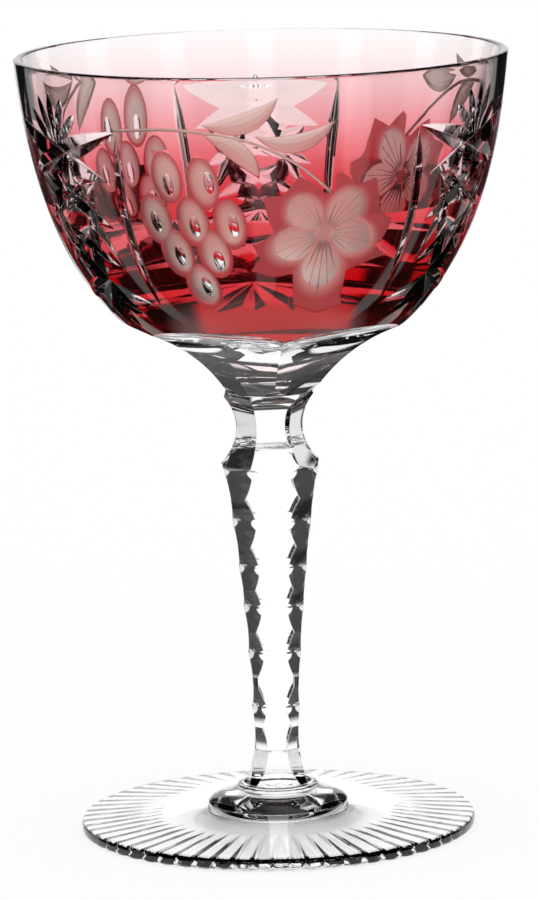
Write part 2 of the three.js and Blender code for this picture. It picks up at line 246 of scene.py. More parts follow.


# Acid-polished skin: a faint ripple, and edges that the polish has rounded, by radii in metres. The casing is
# thinner than such a radius, so it has none. A rosy tint on the star cuts is a painted reflection of the ruby
# around them
polish = {
    "ripple": 180, "detail": 2, "strength": 0.02, "depth": 0.0002, "dull": (0.5, 0.9), "rough": 0.02,
    "edge": 0.00018, "stemEdge": 0.0003, "edgeSamples": 4,
    "clear": (1, 0.998, 0.99, 1), "paintedRubyReflection": (1, 0.7, 0.72, 1), "overRuby": (1, 0.99, 0.99, 1),
}
refraction = 1.52


def polishedSkin(finish, colour, edgeRound=0):
    ripple = noise(finish, polish["ripple"], polish["detail"])
    relief = {"Strength": polish["strength"], "Distance": polish["depth"], "Height": ripple}
    if edgeRound:
        settings = {"samples": polish["edgeSamples"]}
        relief["Normal"] = finish.node("ShaderNodeBevel", settings, {"Radius": edgeRound})
    bump = finish.node("ShaderNodeBump", {}, relief)
    return finish.node("ShaderNodeBsdfPrincipled", {}, {
        "Base Color": colour, "Roughness": ripple.step(*polish["dull"]) * polish["rough"], "IOR": refraction,
        "Transmission Weight": 1.0, "Normal": bump,
    })


def polishedGlass(name, edgeRound, colour):
    finish = Finish(name)
    skin = polishedSkin(finish, colour, edgeRound)
    return finish.output("ShaderNodeOutputMaterial", {"Surface": skin})


def jointGlass():
    finish = Finish("fusedJoint")
    clear = finish.node("ShaderNodeBsdfTransparent")
    return finish.output("ShaderNodeOutputMaterial", {"Surface": clear})


# Satin skin of a wheel that wasn't polished: a fine grain that scatters some light and bends the rest. The
# colour attribute read below is 0 in the clear middle of a satin oval and 1 at its edge and where the ruby is
# left; the tone darkens with it, partly for the ruby and partly as painted shade towards the edge
satin = {
    # The pale pink deep tone is a painted glow of the ruby seen through the clear frost
    "deep": (0.97, 0.62, 0.53, 1), "left": (0.72, 0.1, 0.11, 1), "fade": (0.15, 0.88), "veinPaintedShade": 0.72,
    "bends": 0.6, "grain": 9000, "grainDetail": 2, "strength": 0.3, "depth": 0.00003,
    "cloud": 500, "cloudDetail": 3, "rough": 0.4, "roughRange": 0.12,
}


def satinSkin(finish, deep, left):
    cover = finish.node("ShaderNodeAttribute", {"attribute_name": "cover"}, [], "Fac")
    grain = noise(finish, satin["grain"], satin["grainDetail"])
    bump = finish.node("ShaderNodeBump", {}, {
        "Strength": satin["strength"], "Distance": satin["depth"], "Height": grain,
    })
    tones = {0: cover.step(*satin["fade"]), 6: deep, 7: left}
    colour = finish.node("ShaderNodeMix", {"data_type": "RGBA"}, tones, 2)
    cloud = noise(finish, satin["cloud"], satin["cloudDetail"])
    return finish.node("ShaderNodeBsdfPrincipled", {}, {
        "Base Color": colour, "Roughness": satin["rough"] + satin["roughRange"] * cloud, "IOR": refraction,
        "Transmission Weight": satin["bends"], "Normal": bump,
    })


def satinGlass(name, shade):
    finish = Finish(name)
    deep, left = [(*[tone * shade for tone in satin[key][:3]], 1) for key in ("deep", "left")]
    skin = satinSkin(finish, deep, left)
    return finish.output("ShaderNodeOutputMaterial", {"Surface": skin})


# Ruby: one material for the whole casing, so that its volume of colour has one skin. The attribute
# "joint" is 1 on the faces that are fused to the crystal, and "ground" is 1 on frosted cuts.
rubyColour = {"strength": 7200, "passes": (0.91, 0.0, 0.09, 1)}


def rubyGlass():
    finish = Finish("rubyCasing")
    joint = finish.node("ShaderNodeAttribute", {"attribute_name": "joint"}, [], "Fac")
    ground = finish.node("ShaderNodeAttribute", {"attribute_name": "ground"}, [], "Fac")
    glass = polishedSkin(finish, polish["overRuby"])
    frost = satinSkin(finish, satin["deep"], satin["left"])
    clear = finish.node("ShaderNodeBsdfTransparent")
    skin = finish.node("ShaderNodeMixShader", {}, {0: ground, 1: glass, 2: frost})
    skin = finish.node("ShaderNodeMixShader", {}, {0: joint, 1: skin, 2: clear})
    colour = finish.node("ShaderNodeVolumeAbsorption", {}, {
        "Color": rubyColour["passes"], "Density": rubyColour["strength"],
    })
    return finish.output("ShaderNodeOutputMaterial", {"Surface": skin, "Volume": colour})


polished = polishedGlass("polishedCrystal", polish["edge"], polish["clear"])
stemPolish = polishedGlass("polishedStem", polish["stemEdge"], polish["clear"])
# The star cuts are clear crystal with a rosy tint, a painted reflection of the ruby around them
starPaintedReflection = polishedGlass("polishedStarCutPaintedReflection", polish["edge"], polish["paintedRubyReflection"])
fused = jointGlass()
frosted = satinGlass("groundCrystal", 1)
# Veins get the satin tones darkened: a painted shade line in their grooves
veinedPaintedShade = satinGlass("veinCutPaintedShade", satin["veinPaintedShade"])
ruby = rubyGlass()
print("finishes ready")


# Foot

foot = {
    "edge": 2.2, "edgeRound": 0.8, "edgeRise": 0.03, "height": 7.1, "bossRadius": 7.3, "sag": 0.4,
    "domeRadius": 13.4, "domeHeight": 5.0, "domePull": 1.4, "steps": 232, "smooth": 25,
    "hollowRadius": 36.8, "hollowDepth": 3, "hollowPull": 12,
    "hollowSteps": 24, "edgeSteps": 4, "topSteps": 20, "domeSteps": 10,
    "flutes": 58, "fluteInner": 23.5, "fluteInnerHeight": 1.5, "fluteEdge": 0.38,
    "fluteWheel": 4.3, "fluteSteps": 32, "fluteLength": 3,
}


# Curve from start to end that leaves both towards a third point
def bend(start, pull, end, count):
    run = []
    for step in range(count + 1):
        share = step / count
        a, b, c = (1 - share) ** 2, 2 * share * (1 - share), share ** 2
        run.append([a * start[0] + b * pull[0] + c * end[0], a * start[1] + b * pull[1] + c * end[1]])
    return run


def makeFoot():
    top, edge, edgeRound, count = foot["height"], foot["edge"], foot["edgeRound"], foot["edgeSteps"]
    inside = footRadius - edgeRound
    dome = [foot["domeRadius"], foot["domeHeight"]]
    middle = [(dome[0] + footRadius) / 2, (dome[1] + edge) / 2 - foot["sag"]]
    deep = foot["hollowDepth"]
    pull = [foot["domeRadius"] - foot["domePull"], top]
    run = bend([0, deep], [foot["hollowPull"], deep], [foot["hollowRadius"], 0], foot["hollowSteps"])
    run += bend([inside, 0], [footRadius, 0], [footRadius, edgeRound], count)
    run += bend([footRadius, edge - edgeRound], [footRadius, edge], [inside, edge + foot["edgeRise"]], count)
    run += bend(run[-1], middle, dome, foot["topSteps"])[1:]
    run += bend(dome, pull, [foot["bossRadius"], top], foot["domeSteps"])[1:]
    run += [[joints["radius"], top], [0, top]]
    piece = lathe("footGlass", run, foot["steps"])
    giveMaterial(piece, polished, fused)
    markJoint(piece, levelJoint)
    reach = footRadius - foot["fluteInner"]
    tilt = math.atan2(foot["fluteEdge"] - foot["fluteInnerHeight"], reach)
    size = {"radius": foot["fluteWheel"] * mm, "depth": foot["fluteLength"] * reach * mm}
    spot = (footRadius * mm, 0, (foot["fluteEdge"] - foot["fluteWheel"]) * mm)
    wheels = []
    for flute in range(foot["flutes"]):
        nothingSelected()
        bpy.ops.mesh.primitive_cylinder_add(vertices=foot["fluteSteps"], **size)
        wheel = bpy.context.object
        wheel.data.transform(Matrix.Rotation(math.radians(90) - tilt, 4, "Y"))
        wheel.data.transform(Matrix.Translation(spot))
        wheel.data.transform(Matrix.Rotation(math.tau * flute / foot["flutes"] - math.pi / 2, 4, "Z"))
        giveMaterial(wheel, polished)
        wheels.append(wheel)
    combine(piece, wheels, "DIFFERENCE")
    removeTools(wheels)
    smoothBy(piece, foot["smooth"])
    return piece


footGlass = makeFoot()
print("foot cut:", len(footGlass.data.polygons), "faces")


# Bead

bead = {"radius": 7.8, "height": 1.6, "arcSteps": 12, "steps": 128, "smooth": 40}


def makeBead():
    half = bead["height"] / 2
    top = beadBase + bead["height"]
    run = [[0, beadBase], [joints["radius"], beadBase]]
    for step in range(bead["arcSteps"] + 1):
        turn = -math.pi / 2 + math.pi * step / bead["arcSteps"]
        run.append([bead["radius"] - half + half * math.cos(turn), beadBase + half + half * math.sin(turn)])
    run += [[joints["radius"], top], [0, top]]
    piece = lathe("beadGlass", run, bead["steps"])
    giveMaterial(piece, polished, fused)
    markJoint(piece, levelJoint)
    smoothBy(piece, bead["smooth"])
    return piece


beadGlass = makeBead()
print("bead made:", len(beadGlass.data.polygons), "faces")


# Stem: four broad sides with a shallow hollow in each row, and four narrow sides that are ground in on the
# lines between the rows. A small notch sits on each edge there.

stem = {
    "skirtRadius": 7.55, "skirtHeight": 6.8, "skirtEdge": 0.8, "waistRadius": 4.6, "shaftPull": 5.0,
    "shoulderRadius": 9.7, "shoulderHeight": 63.4, "neckBlank": 8.75, "collar": 1.2, "seamRadius": 8.3,
    "blank": 1.11, "steps": 192, "taperSteps": 48, "turn": 2, "smooth": 12,
    "rows": [10, 9.1, 7.9, 9.1, 10.7, 8.7], "topEdge": 61.7, "overlap": 0.042, "wheelWidth": 40,
    "broadWheel": 34, "broadSteps": 384, "narrowWheel": 12.6, "narrowSteps": 160,
    "notchWheel": 1.5, "notchDepth": 0.55, "notchWidth": 12, "notchSteps": 32,
    "skirtWheel": 11.5, "skirtReach": 4.35, "skirtAt": 7.4, "skirtSteps": 128,
}
flutes = {
    "count": 6,
    "neckWheel": 10, "neckWidth": 40, "neckWaist": 5.55, "neckAt": 69.56, "neckTurn": 7, "neckSteps": 192,
    "baseWheel": 32.7, "baseWidth": 100, "baseRadius": 36.18, "baseDrop": 16.75,
    "baseTurn": 37, "baseSteps": 256,
}


def shaftRadius(height):
    share = (stem["shoulderHeight"] - height) / (stem["shoulderHeight"] - stem["skirtHeight"])
    top = stem["shoulderRadius"] * (1 - share) + stem["shaftPull"] * share
    low = stem["shaftPull"] * (1 - share) + stem["waistRadius"] * share
    return top * (1 - share) + low * share


# Flutes round the bottom of the bowl
def baseWheels():
    return [levelWheel(
        flutes["baseWheel"], flutes["baseWidth"], flutes["baseTurn"] + flute * 360 / flutes["count"],
        flutes["baseRadius"], bowlBase - flutes["baseDrop"], polished, flutes["baseSteps"],
    ) for flute in range(flutes["count"])]


# Flutes round the neck, which run from the stem into the bowl
def neckWheels():
    return [levelWheel(
        flutes["neckWheel"], flutes["neckWidth"], flutes["neckTurn"] + flute * 360 / flutes["count"],
        flutes["neckWaist"] + flutes["neckWheel"], stemBase + flutes["neckAt"], polished, flutes["neckSteps"],
    ) for flute in range(flutes["count"])]


# Wheel that leaves the given depth of cut on the shaft at a height, square to the taper there
def shaftWheel(wheel, degrees, height, reach, depth, width, steps):
    slope = math.atan2(shaftRadius(height + 1) - shaftRadius(height - 1), 2)
    stand = wheel - depth
    return levelWheel(
        wheel, width, degrees, reach * shaftRadius(height) + stand * math.cos(slope),
        stemBase + height - stand * math.sin(slope), stemPolish, steps,
    )


# Wheels of the skirt's eight sides
def skirtWheels():
    return [levelWheel(
        stem["skirtWheel"], stem["wheelWidth"], stem["turn"] + side * 45,
        stem["skirtReach"] + stem["skirtWheel"], stemBase + stem["skirtAt"], stemPolish, stem["skirtSteps"],
    ) for side in range(8)]


# Wheels of the shaft, row by row from the top
def rowWheels():
    wheels = []
    width = stem["wheelWidth"]
    top = stem["topEdge"]
    edge = (1 - stem["overlap"]) / math.cos(math.pi / 8)
    for row in stem["rows"]:
        middle = top - row / 2
        hollow = (row / 2) ** 2 / (2 * stem["broadWheel"])
        broadDepth = stem["overlap"] * shaftRadius(middle) + hollow
        narrowDepth = stem["overlap"] * shaftRadius(top)
        for side in range(4):
            turn = stem["turn"] + side * 90
            wheels += [
                shaftWheel(stem["broadWheel"], turn, middle, 1, broadDepth, width, stem["broadSteps"]),
                shaftWheel(stem["narrowWheel"], turn + 45, top, 1, narrowDepth, width, stem["narrowSteps"]),
            ]
            wheels += [shaftWheel(
                stem["notchWheel"], turn + corner, top, edge, stem["notchDepth"],
                stem["notchWidth"], stem["notchSteps"],
            ) for corner in (22.5, 67.5)]
        top -= row
    return wheels


def makeStem():
    skirt, shoulder = stem["skirtHeight"], stem["shoulderHeight"]
    run = [[0, stemBase], [joints["radius"], stemBase], [stem["skirtRadius"], stemBase]]
    run.append([stem["skirtRadius"], stemBase + stem["skirtEdge"]])
    for step in range(stem["taperSteps"] + 1):
        height = skirt + (shoulder - skirt) * step / stem["taperSteps"]
        run.append([shaftRadius(height) * stem["blank"], stemBase + height])
    run.append([stem["neckBlank"], stemBase + shoulder + stem["collar"]])
    run.append([stem["neckBlank"], stemTop - stem["collar"]])
    run += [[stem["seamRadius"], stemTop], [0, stemTop]]
    piece = lathe("stemGlass", run, stem["steps"])
    giveMaterial(piece, stemPolish, fused)

    def isJoint(face, radius, height):
        low = height < stemBase + joints["slack"] and radius < joints["radius"]
        return low or height > stemTop - joints["slack"]

    markJoint(piece, isJoint)
    wheels = neckWheels() + skirtWheels() + rowWheels()
    combine(piece, wheels, "DIFFERENCE")
    removeTools(wheels)
    smoothBy(piece, stem["smooth"])
    return piece


stemGlass = makeStem()
print("stem cut:", len(stemGlass.data.polygons), "faces")


# Bowl

bowl = {
    "floor": 12.3, "rimWall": 1.6, "lip": 0.5, "waistRadius": 13.9, "waistHeight": 4.7, "baseRadius": 10.4,
    "sideReach": 0.946, "sideHeight": 0.594, "haunchReach": 0.788, "haunchHeight": 0.232,
    "insideSideReach": 0.9075, "insideSideHeight": 0.581, "insideHaunch": 0.826,
    "hem": 7, "steps": 240, "rows": 72, "hemRows": 8, "lipSteps": 8, "jointDepth": 0.6, "smooth": 12,
}
bowlHeight = rimTop - bowlBase


def cubic(points, share):
    weights = [(1 - share) ** 3, 3 * share * (1 - share) ** 2, 3 * share ** 2 * (1 - share), share ** 3]
    return [sum(w * p[axis] for w, p in zip(weights, points)) for axis in range(2)]


outsidePoints = [
    [rimRadius, rimTop],
    [rimRadius * bowl["sideReach"], bowlBase + bowlHeight * bowl["sideHeight"]],
    [rimRadius * bowl["haunchReach"], bowlBase + bowlHeight * bowl["haunchHeight"]],
    [bowl["waistRadius"], bowlBase + bowl["waistHeight"]],
]


# Place on the outside of the bowl at a height, with the direction out of the glass there
def outsideAt(height):
    low, high = 0.0, 1.0
    for _ in range(40):
        middle = (low + high) / 2
        if cubic(outsidePoints, middle)[1] > height:
            low = middle
        else:
            high = middle
    here = cubic(outsidePoints, low)
    ahead, behind = cubic(outsidePoints, low + 1e-4), cubic(outsidePoints, low - 1e-4)
    run = Vector((ahead[0] - behind[0], ahead[1] - behind[1])).normalized()
    return here[0], here[1], -run.y, run.x


# The ruby is a thin wedge, in mm: hardly any at the rim, and most low down
casing = {"atRim": 0.005, "growth": 0.0013, "swell": 0.00021}


def casingWall(height):
    down = rimTop - height
    return casing["atRim"] + casing["growth"] * down + casing["swell"] * down ** 2


# Outside of the bowl as a run for the lathe, set back by a gap and, if wanted, by the casing's wall
def outsideRun(fromHeight, toHeight, steps, gap, withWall):
    run = []
    for step in range(steps + 1):
        radius, height, outR, outZ = outsideAt(fromHeight + (toHeight - fromHeight) * step / steps)
        inset = gap + (casingWall(height) if withWall else 0)
        run.append([radius - outR * inset, height - outZ * inset])
    return run


# Point of the bowl at an angle and a height above its seam, lifted out of the glass, in metres
def onBowl(degrees, height, lift):
    radius, z, outR, outZ = outsideAt(bowlBase + height)
    return (outwards(degrees) * (radius + outR * lift) + Vector((0, 0, z + outZ * lift))) * mm


hemHeight = bowlBase + bowl["hem"]
casingTop = rimTop - bowl["lip"]


def faceLooksOut(face):
    return face.normal.x * face.center.x + face.normal.y * face.center.y > 0


def makeCrystal():
    rimInside = rimRadius - bowl["rimWall"]
    sideHeight = rimTop - (bowlHeight - bowl["floor"]) * (1 - bowl["insideSideHeight"])
    inside = [
        [0, bowlBase + bowl["floor"]],
        [rimInside * bowl["insideHaunch"], bowlBase + bowl["floor"]],
        [rimInside * bowl["insideSideReach"], sideHeight],
        [rimInside, rimTop - bowl["lip"]],
    ]
    run = [[0, bowlBase], [bowl["baseRadius"], bowlBase]]
    run += outsideRun(bowlBase + bowl["waistHeight"], hemHeight, bowl["hemRows"], 0, False)
    run += outsideRun(hemHeight, casingTop, bowl["rows"], fuseGap, True)
    half = bowl["rimWall"] / 2
    for step in range(bowl["lipSteps"] + 1):
        turn = math.pi * step / bowl["lipSteps"]
        radius = rimRadius - half + (half - fuseGap) * math.cos(turn)
        run.append([radius, casingTop + fuseGap + (bowl["lip"] - fuseGap) * math.sin(turn)])
    run += [cubic(inside, step / bowl["rows"]) for step in range(bowl["rows"] - 1, -1, -1)]
    piece = lathe("crystalBowl", run, bowl["steps"])
    giveMaterial(piece, polished, fused, frosted)

    def isJoint(face, radius, height):
        if height < bowlBase + joints["slack"]:
            return True
        if not hemHeight < height < casingTop or not faceLooksOut(face) or face.normal.dot(face.center) <= 0:
            return False
        return radius > outsideAt(height)[0] - casingWall(height) - bowl["jointDepth"]

    markJoint(piece, isJoint)
    return piece


def makeCasing():
    run = outsideRun(hemHeight, casingTop, bowl["rows"], 0, False)
    run += outsideRun(casingTop, hemHeight, bowl["rows"], 0, True)
    run.append(run[0])
    piece = lathe("rubyCasingGlass", run, bowl["steps"])
    giveMaterial(piece, polished, fused, frosted)
    markJoint(piece, lambda face, radius, height: not faceLooksOut(face))
    return piece


# Blank of a cut: a long bar, subdivided along its length only
def makeBlank(corners, steps):
    nothingSelected()
    bpy.ops.mesh.primitive_cylinder_add(vertices=corners, radius=1, depth=1)
    bar = bpy.context.object
    bpy.ops.object.mode_set(mode="EDIT")
    bpy.ops.mesh.select_mode(type="EDGE")
    bpy.ops.mesh.select_all(action="DESELECT")
    bpy.ops.object.mode_set(mode="OBJECT")
    heights = [vertex.co.z for vertex in bar.data.vertices]
    for edge in bar.data.edges:
        edge.select = heights[edge.vertices[0]] != heights[edge.vertices[1]]
    bpy.ops.object.mode_set(mode="EDIT")
    bpy.ops.mesh.subdivide(number_cuts=steps - 1)
    bpy.ops.mesh.select_all(action="SELECT")
    bpy.ops.mesh.quads_convert_to_tris()
    bpy.ops.object.mode_set(mode="OBJECT")
    return bar


veinBlank = makeBlank(3, 12)
mitreBlank = makeBlank(5, 12)
hollowBlank = makeBlank(12, 16)


# Cut that follows a path on the bowl. pathAt gives [degrees, height] by share, and sectionAt gives the place
# of a corner of the bar across the path and out of the glass, in mm
def groove(bar, pathAt, sectionAt, finish):
    near = 0.01
    tool = bpy.data.objects.new("tool", bar.data.copy())
    bpy.context.scene.collection.objects.link(tool)
    for vertex in tool.data.vertices:
        share = vertex.co.z + 0.5
        spot = onBowl(*pathAt(share), 0)
        out = (onBowl(*pathAt(share), 1) - spot).normalized()
        ahead = onBowl(*pathAt(min(share + near, 1)), 0) - onBowl(*pathAt(max(share - near, 0)), 0)
        side = ahead.cross(out).normalized()
        across, rise = sectionAt(share, vertex.co.x, vertex.co.y)
        vertex.co = spot + (out * rise + side * across) * mm
    onlySelected(tool)
    bpy.ops.object.mode_set(mode="EDIT")
    bpy.ops.mesh.select_all(action="SELECT")
    bpy.ops.mesh.normals_make_consistent(inside=False)
    bpy.ops.object.mode_set(mode="OBJECT")
    giveMaterial(tool, finish)
    return tool


# Round-bottomed cut of a given half width
def hollowGroove(pathAt, depthAt, halfAt, lift, finish):
    def section(share, across, down):
        rise = lift - (lift + depthAt(share)) * down ** 2 if down > 0 else lift * (1 - down)
        return across * halfAt(share), rise

    return groove(hollowBlank, pathAt, section, finish)


# V-shaped cut for a vein of the leaf, frosted in a darker tone that paints a shade line along it
def veinGroove(pathAt, depthAt):
    edge = math.tan(math.radians(star["mitre"])) / math.sin(math.radians(60))
    lift, top = vine["veinLift"], vine["veinTop"]

    def section(share, across, down):
        rise = lift - (lift + depthAt(share)) * down if down > 0 else top
        return across * (depthAt(share) + top) * edge, rise

    return groove(veinBlank, pathAt, section, veinedPaintedShade)


# V-shaped cut with its top edges eased, which catches the light as a thin line along each side
def mitreGroove(pathAt, depthAt):
    slope = math.tan(math.radians(star["mitre"]))
    ease, flat, lift = star["ease"], math.tan(math.radians(star["easeAngle"])), star["lift"]

    def section(share, across, down):
        isBottom = down > 0.9
        if isBottom:
            return 0, -depthAt(share)
        side = math.copysign(1, across)
        shoulder = min(ease, star["easeShare"] * depthAt(share))
        reach = (depthAt(share) - shoulder) * slope
        if down > 0:
            return side * reach, -shoulder
        return side * (reach + (shoulder + lift) * flat), lift

    return groove(mitreBlank, pathAt, section, starPaintedReflection)


def between(a, b, share):
    return [a[0] + (b[0] - a[0]) * share, a[1] + (b[1] - a[1]) * share]


# 0 near both ends of a cut and 1 between them. late moves the widest place towards the end
def swelling(share, tip, late=1):
    return math.sin(math.pi * min(max(share, tip), 1 - tip) ** late)


# Star panels. Places are degrees from the panel's middle and mm above the bowl's seam, and the last number of
# a cut is its depth. The panel at the back is lower and sits higher
star = {
    "angles": [-58.5, 61.5, 181.5], "tall": [1, 1, 0.77], "rise": [0, 0, 3.7],
    "mitre": 57, "low": 23.6, "high": [0, 49.6], "ease": 0.13, "easeShare": 0.4, "easeAngle": 66, "lift": 0.3,
    "border": {"from": [22.3, 54], "to": [22.6, 20.5], "draw": 1.6, "depth": 0.65, "fade": 5},
    "mitres": [
        [[-21.8, 54.2], [17.3, 44.6], 1.6], [[-9, 44.9], [15.9, 35.6], 1.2], [[13.2, 44.6], [-4, 37.5], 0.9],
        [[-7.7, 27.5], [3.6, 25.9], 0.7], [[-7.5, 36.1], [14.5, 27], 1.0],
    ],
    "rays": [
        [[0, 49.6], [15.1, 27.2], 1.4], [[0, 23.6], [13.1, 44.6], 1.5], [[0, 23.6], [22, 20], 1.6],
        [[0, 23.6], [14.4, 16.6], 1.5], [[0, 23.6], [4.9, 14.9], 1.5],
    ],
    "middleRay": [[0, 23.6], [0, 15.2], 1.3],
    "petals": [[0, 60.6], [5.2, 59.8], [9.6, 57], [12.6, 52.6]],
    "petalHalf": 1.2, "petalDepth": 0.8, "petalBlunt": [0.7, 0.6], "petalLift": 0.1, "petalTip": 0.003,
    "petalLate": 1.5,
}
tipDepth = 0.005  # share of its depth that a cut keeps at its tips, so that it stays solid


# Straight cut, deepest in the middle. A ray is deepest at its start
def mitreCut(start, end, depth, isRay):
    def depthAt(share):
        fall = share if isRay else 2 * share - 1
        return depth * max(tipDepth, 1 - fall ** 2)

    return mitreGroove(lambda share: between(start, end, share), depthAt)


# Long bowed cut down the side of a panel
def borderCut(place):
    border = star["border"]

    def path(share):
        degrees, height = between(border["from"], border["to"], share)
        return place([degrees - border["draw"] * math.sin(math.pi * share), height])

    def depthAt(share):
        return border["depth"] * min(1, max(2 * tipDepth, border["fade"] * min(share, 1 - share)))

    return mitreGroove(path, depthAt)


# Petal of the fan over the upper star: a hollow that widens away from the star and ends round
def petalCut(start, end):
    bluntDepth, bluntHalf = star["petalBlunt"]

    def swell(share):
        return swelling(share, star["petalTip"], star["petalLate"])

    return hollowGroove(
        lambda share: between(start, end, share),
        lambda share: star["petalDepth"] * swell(share) ** bluntDepth,
        lambda share: star["petalHalf"] * swell(share) ** bluntHalf, star["petalLift"], polished,
    )


def starTools():
    tools = []
    for middle, tall, rise in zip(star["angles"], star["tall"], star["rise"]):
        for side in (-1, 1):
            def place(spot):
                return [middle + side * spot[0], star["low"] + rise + (spot[1] - star["low"]) * tall]

            tools.append(borderCut(place))
            for start, end, depth in star["mitres"]:
                tools.append(mitreCut(place(start), place(end), depth, False))
            for start, end, depth in star["rays"]:
                tools.append(mitreCut(place(start), place(end), depth, True))
            for tip in star["petals"][side < 0:]:
                tools.append(petalCut(place(star["high"]), place(tip)))
        start, end, depth = star["middleRay"]
        tools.append(mitreCut(place(start), place(end), depth, True))
    return tools


# Grapes and vine. Places are degrees from the motif's middle and mm above the bowl's seam. The depth of a
# grape or lobe is a part of its own and a multiple of the casing's wall there. A lobe has a direction, a
# length and a half width, a vein a turn from its lobe and a share of its length, and a blade a half width
vine = {
    "angles": [1.5, 121.5, 241.5],
    "grapes": [
        [-25.2, 46.2], [-16.2, 45.1], [-29.8, 38.1], [-19.75, 37.8],
        [-10.2, 37.3], [-25.5, 31.6], [-15, 31.6], [-19.9, 25],
    ],
    "eyes": [
        [-25.2, 45], [-14.9, 45.2], [-30.3, 37.6], [-19.7, 36.9],
        [-9.5, 37], [-25.4, 31], [-14.4, 30.3], [-19.4, 24.7],
    ],
    "grapeHalf": [3.4, 6.0], "grapeShadeSpread": 1.14, "grapeLean": 8, "grapeDepth": [0.15, 2.1], "grapeSteps": 32,
    "eyeHalf": [1.0, 2.2], "eyeDepth": 0.35, "eyeRise": 0.08, "eyeSteps": 24,
    "leafAt": [14.1, 35.2], "heartHalf": 3.2, "leafLift": 0.3, "bedShare": 0.3, "bedGrid": [36, 26],
    "leafEdge": [
        [7, 46.2], [10.4, 44.9], [13.5, 42.9], [15.9, 42.9], [16.1, 46.2], [17.3, 46.8], [20, 45.2],
        [21.6, 44], [26.6, 45.2], [28.2, 41.1], [28.6, 39.5], [29.6, 38.3], [32.8, 37], [32.5, 35.4],
        [30.6, 32.5], [28.8, 32.4], [32.9, 29.9], [28.2, 29.1], [25, 28.4], [21.7, 27.5], [21.9, 24.6],
        [21.7, 22.6], [23.2, 20.5], [14.5, 19.3], [6.7, 21.2], [6.7, 23.2], [6, 27.5], [2, 27], [-0.6, 27],
        [-3.1, 27.8], [-5.5, 28.2], [-3, 30.8], [-4.8, 33.4], [-2.4, 33.9], [0.9, 35.8], [-0.6, 38.2],
        [-1.7, 42.4], [2.8, 42.8], [4.4, 43.8],
    ],
    "lobes": [[135, 10.6, 4.9], [50, 11.2, 5.2], [-15, 12, 5.3], [-90, 14.2, 6.2], [202, 12.2, 5.1]],
    "lobeHalf": 0.55, "lobeDepth": [0.12, 1.6], "lobeSteps": 32,
    "veins": [[-22, 0.56], [-11, 0.74], [0, 0.84], [11, 0.74], [22, 0.56]],
    "veinFrom": 0.1, "veinDepth": 0.04, "veinLift": 0.1, "veinTop": 0.15,
    "blades": [
        [[-15.4, 56.1], [-5.4, 56.5], [2, 61], 2.1], [[-14.9, 54.1], [-7.3, 51], [-2.5, 46.1], 2.1],
        [[-3.1, 53.9], [6.6, 52.5], [15, 56.3], 1.95],
    ],
    "bladeDepth": 0.5, "bladeBlunt": [0.7, 0.8], "bladeLift": 0.06, "bladeTip": 0.01,
    "stem": [
        [-38.5, 54.6], [-24.3, 55.3], [-18.2, 54.9], [-11.2, 54.2],
        [-4.4, 52.9], [1.3, 51], [7.1, 48.3], [15.4, 42.8],
    ],
    "stemHalf": 0.33, "stemDepth": 0.3, "stemLift": 0.1,
}

# Where the satin ovals lie, for the colour that darkens towards their edges, partly ruby and partly painted
# shade
hollows = []


# Frame on the bowl at a place: across, up and out of the glass
def bowlFrame(degrees, height, lean):
    spot = onBowl(degrees, height, 0)
    out = (onBowl(degrees, height, 1) - spot).normalized()
    across = Vector((0, 0, 1)).cross(outwards(degrees))
    turned = Matrix((across, out.cross(across), out)).transposed().to_4x4()
    turned.translation = spot
    return turned @ Matrix.Rotation(math.radians(lean), 4, "Z")


# Notes a satin oval, so that a place in it has a distance below 1 from the middle
def markHollow(turned, halfWidth, halfHeight):
    hollows.append((turned @ Matrix.Diagonal((halfWidth * mm, halfHeight * mm, mm, 1))).inverted())


# Hollow oval ground by a round wheel: a flattened ball whose centre stands its own depth above the glass
def dish(degrees, height, halfWidth, halfHeight, depth, lean, finish, steps):
    nothingSelected()
    bpy.ops.mesh.primitive_uv_sphere_add(segments=steps, ring_count=steps // 2, radius=1)
    tool = bpy.context.object
    reach = 2 / math.sqrt(3)
    tool.data.transform(Matrix.Diagonal((halfWidth * reach * mm, halfHeight * reach * mm, 2 * depth * mm, 1)))
    tool.data.transform(Matrix.Translation((0, 0, depth * mm)))
    turned = bowlFrame(degrees, height, lean)
    tool.data.transform(turned)
    # Satin ovals are noted so that their colour darkens towards the edge, partly ruby and partly painted
    # shade
    if finish == frosted:
        markHollow(turned, halfWidth, halfHeight)
    giveMaterial(tool, finish)
    return tool


